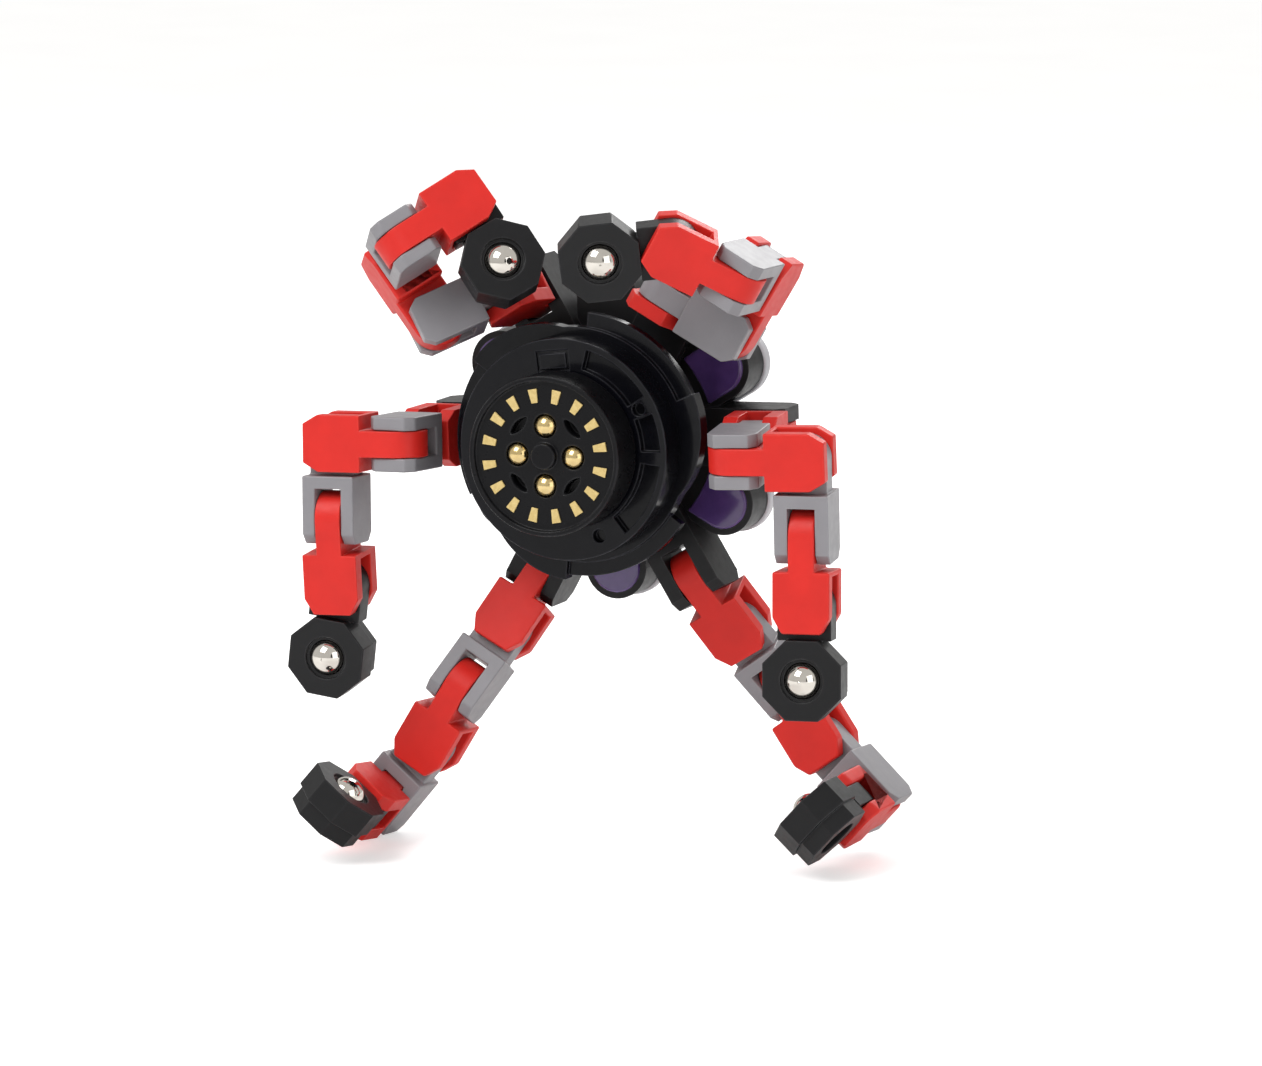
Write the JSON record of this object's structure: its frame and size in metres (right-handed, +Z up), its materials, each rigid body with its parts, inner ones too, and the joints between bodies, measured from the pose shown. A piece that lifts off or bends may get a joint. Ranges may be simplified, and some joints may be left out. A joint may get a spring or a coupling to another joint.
{
  "type": "chain-arm fidget spinner",
  "caption": "Fidget spinner with a round bearing hub between two finger caps and jointed chain arms ending in ball-tipped octagons, posed standing like a small robot.",
  "frame": {"origin": "centre of the flat boss on the front finger cap, on the spin axis", "axes": "+Y along the spin axis from front to back, +Z up and +X to the right seen from the front"},
  "size_m": [0.0897, 0.0505, 0.105],
  "materials": {
    "red_plastic": "satin moulded plastic",
    "grey_plastic": "satin moulded plastic",
    "black_plastic": "satin moulded plastic",
    "gloss_black": "glossy",
    "cap_black": "satin to glossy",
    "flat_gold": "flat metallic",
    "polished_gold": "polished",
    "polished_steel": "polished",
    "bearing_steel": "fine ground",
    "cage_steel": "stamped",
    "purple_gloss": "glossy",
    "shell_grey": "satin moulded plastic"
  },
  "bodies": {
    "finger_caps": {"front_cap": "cap_black", "front_cap_bars": "flat_gold", "front_cap_studs": "polished_gold", "rear_cap": "cap_black", "rear_cap_bars": "flat_gold", "rear_cap_studs": "polished_gold", "axle": "bearing_steel", "bearing_inner_race": "bearing_steel"},
    "rotor": {"bearing_outer_race": "bearing_steel", "bearing_shields": "bearing_steel", "front_cover": "gloss_black", "fin_disc": "gloss_black", "hub_frame": "black_plastic", "petal_windows": "purple_gloss", "rear_shell": "shell_grey"},
    "bearing_cage_ring": {"bearing_cage": "cage_steel", "bearing_balls": "polished_steel"},
    "right_link_1": {"right_1_red": "red_plastic"},
    "right_link_2": {"right_2_grey": "grey_plastic"},
    "right_link_3": {"right_3_red": "red_plastic"},
    "right_link_4": {"right_4_grey": "grey_plastic"},
    "right_link_5": {"right_5_red": "red_plastic"},
    "right_link_6": {"right_6_end": "black_plastic", "right_ball": "polished_steel"},
    "upper_right_link_1": {"upper_right_1_red": "red_plastic"},
    "upper_right_link_2": {"upper_right_2_grey": "grey_plastic"},
    "upper_right_link_3": {"upper_right_3_red": "red_plastic"},
    "upper_right_link_4": {"upper_right_4_grey": "grey_plastic"},
    "upper_right_link_5": {"upper_right_5_red": "red_plastic"},
    "upper_right_link_6": {"upper_right_6_end": "black_plastic", "upper_right_ball": "polished_steel"},
    "upper_left_link_1": {"upper_left_1_red": "red_plastic"},
    "upper_left_link_2": {"upper_left_2_grey": "grey_plastic"},
    "upper_left_link_3": {"upper_left_3_red": "red_plastic"},
    "upper_left_link_4": {"upper_left_4_grey": "grey_plastic"},
    "upper_left_link_5": {"upper_left_5_red": "red_plastic"},
    "upper_left_link_6": {"upper_left_6_end": "black_plastic", "upper_left_ball": "polished_steel"},
    "left_link_1": {"left_1_red": "red_plastic"},
    "left_link_2": {"left_2_grey": "grey_plastic"},
    "left_link_3": {"left_3_red": "red_plastic"},
    "left_link_4": {"left_4_grey": "grey_plastic"},
    "left_link_5": {"left_5_red": "red_plastic"},
    "left_link_6": {"left_6_end": "black_plastic", "left_ball": "polished_steel"},
    "lower_left_link_1": {"lower_left_1_red": "red_plastic"},
    "lower_left_link_2": {"lower_left_2_grey": "grey_plastic"},
    "lower_left_link_3": {"lower_left_3_red": "red_plastic"},
    "lower_left_link_4": {"lower_left_4_grey": "grey_plastic"},
    "lower_left_link_5": {"lower_left_5_red": "red_plastic"},
    "lower_left_link_6": {"lower_left_6_end": "black_plastic", "lower_left_ball": "polished_steel"},
    "lower_right_link_1": {"lower_right_1_red": "red_plastic"},
    "lower_right_link_2": {"lower_right_2_grey": "grey_plastic"},
    "lower_right_link_3": {"lower_right_3_red": "red_plastic"},
    "lower_right_link_4": {"lower_right_4_grey": "grey_plastic"},
    "lower_right_link_5": {"lower_right_5_red": "red_plastic"},
    "lower_right_link_6": {"lower_right_6_end": "black_plastic", "lower_right_ball": "polished_steel"}
  },
  "joints": [
    {"name": "rotor_spin", "type": "hinge", "parent": "finger_caps", "child": "rotor", "pos_m": [0, 0.02, 0], "axis": [0, 1, 0], "continuous": true},
    {"name": "cage_spin", "type": "hinge", "parent": "finger_caps", "child": "bearing_cage_ring", "pos_m": [0, 0.02, 0], "axis": [0, 1, 0], "continuous": true},
    {"name": "right_pivot_1", "type": "hinge", "parent": "rotor", "child": "right_link_1", "pos_m": [0.02498, 0.0285, 0.00087], "axis": [-0.0349, 0, 0.9994], "range_deg": [-7, 176]},
    {"name": "right_pivot_2", "type": "hinge", "parent": "right_link_1", "child": "right_link_2", "pos_m": [0.02663, 0.01813, 0.00093], "axis": [-0.9871, -0.1564, -0.0345], "range_deg": [-93, 55]},
    {"name": "right_pivot_3", "type": "hinge", "parent": "right_link_2", "child": "right_link_3", "pos_m": [0.02845, 0.00668, 0.00059], "axis": [0.0294, 0.0345, -0.999], "range_deg": [-6, 169]},
    {"name": "right_pivot_4", "type": "hinge", "parent": "right_link_3", "child": "right_link_4", "pos_m": [0.03884, 0.00814, 0.00094], "axis": [0.1402, -0.9897, -0.03], "range_deg": [-4, 178]},
    {"name": "right_pivot_5", "type": "hinge", "parent": "right_link_4", "child": "right_link_5", "pos_m": [0.03899, 0.00851, -0.01065], "axis": [0.99, 0.1398, 0.0165], "range_deg": [-90, 100]},
    {"name": "right_pivot_6", "type": "hinge", "parent": "right_link_5", "child": "right_link_6", "pos_m": [0.03924, 0.00794, -0.02113], "axis": [0.1386, -0.9887, 0.0572], "range_deg": [-95, 95]},
    {"name": "upper_right_pivot_1", "type": "hinge", "parent": "rotor", "child": "upper_right_link_1", "pos_m": [0.01174, 0.0285, 0.02207], "axis": [0.8829, 0, -0.4695], "range_deg": [-169, 7]},
    {"name": "upper_right_pivot_2", "type": "hinge", "parent": "upper_right_link_1", "child": "upper_right_link_2", "pos_m": [0.01234, 0.01808, 0.0232], "axis": [0.466, 0.1219, 0.8764], "range_deg": [-34, 5]},
    {"name": "upper_right_pivot_3", "type": "hinge", "parent": "upper_right_link_2", "child": "upper_right_link_3", "pos_m": [0.02258, 0.01808, 0.01776], "axis": [0.0572, -0.9925, 0.1076], "range_deg": [-97, 6]},
    {"name": "upper_right_pivot_4", "type": "hinge", "parent": "upper_right_link_3", "child": "upper_right_link_4", "pos_m": [0.02763, 0.01936, 0.02687], "axis": [-0.8747, 0.0021, 0.4847], "range_deg": [0, 190]},
    {"name": "upper_right_pivot_5", "type": "hinge", "parent": "upper_right_link_4", "child": "upper_right_link_5", "pos_m": [0.02781, 0.00776, 0.02724], "axis": [-0.4845, -0.0349, -0.8741], "range_deg": [-159, 31]},
    {"name": "upper_right_pivot_6", "type": "hinge", "parent": "upper_right_link_5", "child": "upper_right_link_6", "pos_m": [0.01962, 0.00318, 0.03196], "axis": [0.397, -0.8992, -0.1841], "range_deg": [-129, 61]},
    {"name": "upper_left_pivot_1", "type": "hinge", "parent": "rotor", "child": "upper_left_link_1", "pos_m": [-0.01325, 0.0285, 0.0212], "axis": [-0.848, 0, -0.5299], "range_deg": [-4, 179]},
    {"name": "upper_left_pivot_2", "type": "hinge", "parent": "upper_left_link_1", "child": "upper_left_link_2", "pos_m": [-0.01383, 0.01806, 0.02213], "axis": [-0.527, 0.1045, 0.8434], "range_deg": [-42, 73]},
    {"name": "upper_left_pivot_3", "type": "hinge", "parent": "upper_left_link_2", "child": "upper_left_link_3", "pos_m": [-0.02207, 0.01111, 0.01784], "axis": [0.4661, -0.7943, 0.3897], "range_deg": [-13, 109]},
    {"name": "upper_left_pivot_4", "type": "hinge", "parent": "upper_left_link_3", "child": "upper_left_link_4", "pos_m": [-0.02859, 0.01133, 0.02607], "axis": [-0.6304, -0.6072, -0.4836], "range_deg": [-6, 184]},
    {"name": "upper_left_pivot_5", "type": "hinge", "parent": "upper_left_link_4", "child": "upper_left_link_5", "pos_m": [-0.02331, 0.00212, 0.03075], "axis": [-0.6288, 0.0341, 0.7768], "range_deg": [-185, 5]},
    {"name": "upper_left_pivot_6", "type": "hinge", "parent": "upper_left_link_5", "child": "upper_left_link_6", "pos_m": [-0.01669, 0.0085, 0.03583], "axis": [-0.4552, 0.7938, -0.4033], "range_deg": [-187, 3]},
    {"name": "left_pivot_1", "type": "hinge", "parent": "rotor", "child": "left_link_1", "pos_m": [-0.02498, 0.0285, -0.00087], "axis": [0.0349, 0, -0.9994], "range_deg": [-4, 182]},
    {"name": "left_pivot_2", "type": "hinge", "parent": "left_link_1", "child": "left_link_2", "pos_m": [-0.02553, 0.01801, -0.00089], "axis": [-0.998, 0.0523, -0.0349], "range_deg": [-98, 40]},
    {"name": "left_pivot_3", "type": "hinge", "parent": "left_link_2", "child": "left_link_3", "pos_m": [-0.02616, 0.00645, -0.00031], "axis": [-0.0321, 0.0523, 0.9981], "range_deg": [-11, 139]},
    {"name": "left_pivot_4", "type": "hinge", "parent": "left_link_3", "child": "left_link_4", "pos_m": [-0.03664, 0.0059, -0.00061], "axis": [0.0506, -0.9973, 0.0538], "range_deg": [-175, 5]},
    {"name": "left_pivot_5", "type": "hinge", "parent": "left_link_4", "child": "left_link_5", "pos_m": [-0.03627, 0.00529, -0.01219], "axis": [0.9982, 0.0522, 0.0294], "range_deg": [-101, 89]},
    {"name": "left_pivot_6", "type": "hinge", "parent": "left_link_5", "child": "left_link_6", "pos_m": [-0.03599, 0.00584, -0.02267], "axis": [-0.0536, 0.9973, 0.0508], "range_deg": [-104, 86]},
    {"name": "lower_left_pivot_1", "type": "hinge", "parent": "rotor", "child": "lower_left_link_1", "pos_m": [-0.01174, 0.0285, -0.02207], "axis": [0.8829, 0, -0.4695], "range_deg": [-64, 120]},
    {"name": "lower_left_pivot_2", "type": "hinge", "parent": "lower_left_link_1", "child": "lower_left_link_2", "pos_m": [-0.0162, 0.02406, -0.03048], "axis": [-0.1984, 0.9063, -0.3731], "range_deg": [-97, 66]},
    {"name": "lower_left_pivot_3", "type": "hinge", "parent": "lower_left_link_2", "child": "lower_left_link_3", "pos_m": [-0.02149, 0.01916, -0.03956], "axis": [-0.8676, 0.0147, 0.4971], "range_deg": [-75, 91]},
    {"name": "lower_left_pivot_4", "type": "hinge", "parent": "lower_left_link_3", "child": "lower_left_link_4", "pos_m": [-0.02671, 0.01825, -0.04863], "axis": [0.0305, -0.9961, 0.0827], "range_deg": [-64, 104]},
    {"name": "lower_left_pivot_5", "type": "hinge", "parent": "lower_left_link_4", "child": "lower_left_link_5", "pos_m": [-0.03397, 0.01728, -0.05763], "axis": [0.7792, -0.0282, -0.6261], "range_deg": [-1, 189]},
    {"name": "lower_left_pivot_6", "type": "hinge", "parent": "lower_left_link_5", "child": "lower_left_link_6", "pos_m": [-0.03319, 0.00691, -0.05619], "axis": [-0.6224, -0.1528, -0.7677], "range_deg": [-95, 95]},
    {"name": "lower_right_pivot_1", "type": "hinge", "parent": "rotor", "child": "lower_right_link_1", "pos_m": [0.01325, 0.0285, -0.0212], "axis": [-0.848, 0, -0.5299], "range_deg": [-76, 109]},
    {"name": "lower_right_pivot_2", "type": "hinge", "parent": "lower_right_link_1", "child": "lower_right_link_2", "pos_m": [0.01851, 0.03192, -0.02962], "axis": [-0.1725, 0.9455, 0.2761], "range_deg": [-34, 99]},
    {"name": "lower_right_pivot_3", "type": "hinge", "parent": "lower_right_link_2", "child": "lower_right_link_3", "pos_m": [0.02499, 0.03569, -0.03847], "axis": [0.811, -0.0227, 0.5846], "range_deg": [-73, 117]},
    {"name": "lower_right_pivot_4", "type": "hinge", "parent": "lower_right_link_3", "child": "lower_right_link_4", "pos_m": [0.03111, 0.03513, -0.04698], "axis": [-0.0494, -0.9983, 0.0298], "range_deg": [-107, 52]},
    {"name": "lower_right_pivot_5", "type": "hinge", "parent": "lower_right_link_4", "child": "lower_right_link_5", "pos_m": [0.03968, 0.03447, -0.05477], "axis": [0.6721, -0.0112, 0.7404], "range_deg": [-8, 182]},
    {"name": "lower_right_pivot_6", "type": "hinge", "parent": "lower_right_link_5", "child": "lower_right_link_6", "pos_m": [0.03957, 0.02397, -0.05483], "axis": [0.7404, -0.0043, -0.6722], "range_deg": [-94, 96]}
  ],
  "couplings": [
    {"joint": "cage_spin", "follows": "rotor_spin", "ratio": 0.632}
  ]
}
